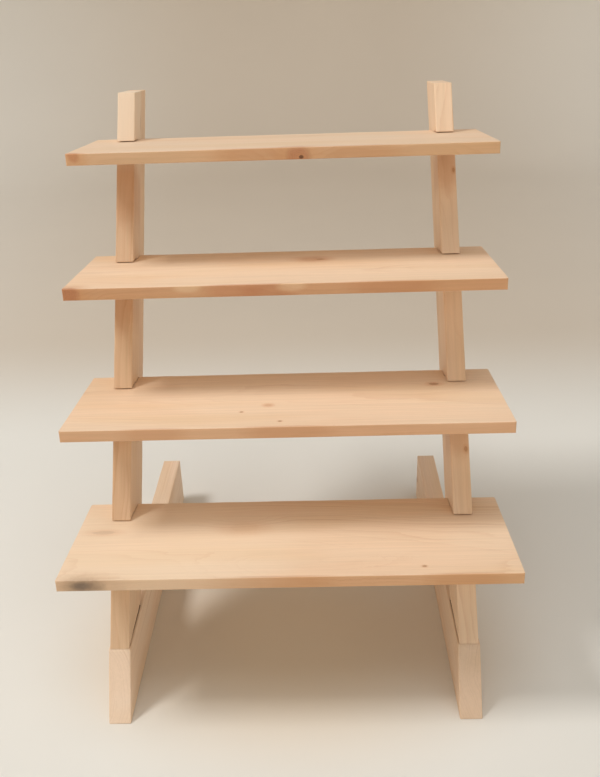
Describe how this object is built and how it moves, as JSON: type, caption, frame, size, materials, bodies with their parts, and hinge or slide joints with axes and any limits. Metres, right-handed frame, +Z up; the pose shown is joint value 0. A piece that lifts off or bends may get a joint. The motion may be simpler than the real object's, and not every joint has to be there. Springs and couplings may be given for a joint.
{
  "type": "stepped display stand",
  "caption": "Free-standing stepped display stand in bare pine: plain shelves halved into two leaning uprights that stand on floor rails.",
  "frame": {"origin": "on the floor, under the middle of the stand's bounding box", "axes": "+X to the stand's right as its user faces it, +Y from the low front shelf to the high back, +Z up"},
  "size_m": [0.4572, 0.4738, 0.5901],
  "materials": {
    "shelf_pine": "bare sanded pine, matt, low-contrast grain with a few knots",
    "frame_pine": "bare sanded pine, matt, straighter grain",
    "dowel_birch": "bare turned birch, matt"
  },
  "bodies": {
    "side_frames": {"left_upright": "frame_pine", "right_upright": "frame_pine", "left_base_rail": "frame_pine", "right_base_rail": "frame_pine", "left_front_dowel": "dowel_birch", "left_rear_dowel": "dowel_birch", "right_front_dowel": "dowel_birch", "right_rear_dowel": "dowel_birch"},
    "bottom_shelf": {"bottom_shelf": "shelf_pine"},
    "lower_middle_shelf": {"lower_middle_shelf": "shelf_pine"},
    "upper_middle_shelf": {"upper_middle_shelf": "shelf_pine"},
    "top_shelf": {"top_shelf": "shelf_pine"}
  },
  "joints": [
    {"name": "bottom_shelf_slide", "type": "slide", "parent": "side_frames", "child": "bottom_shelf", "axis": [0, -0.9962, 0.0872], "range_m": [0, 0.048]},
    {"name": "lower_middle_shelf_slide", "type": "slide", "parent": "side_frames", "child": "lower_middle_shelf", "axis": [0, -0.9962, 0.0872], "range_m": [0, 0.048]},
    {"name": "upper_middle_shelf_slide", "type": "slide", "parent": "side_frames", "child": "upper_middle_shelf", "axis": [0, -0.9962, 0.0872], "range_m": [0, 0.048]},
    {"name": "top_shelf_slide", "type": "slide", "parent": "side_frames", "child": "top_shelf", "axis": [0, -0.9962, 0.0872], "range_m": [0, 0.048]}
  ]
}
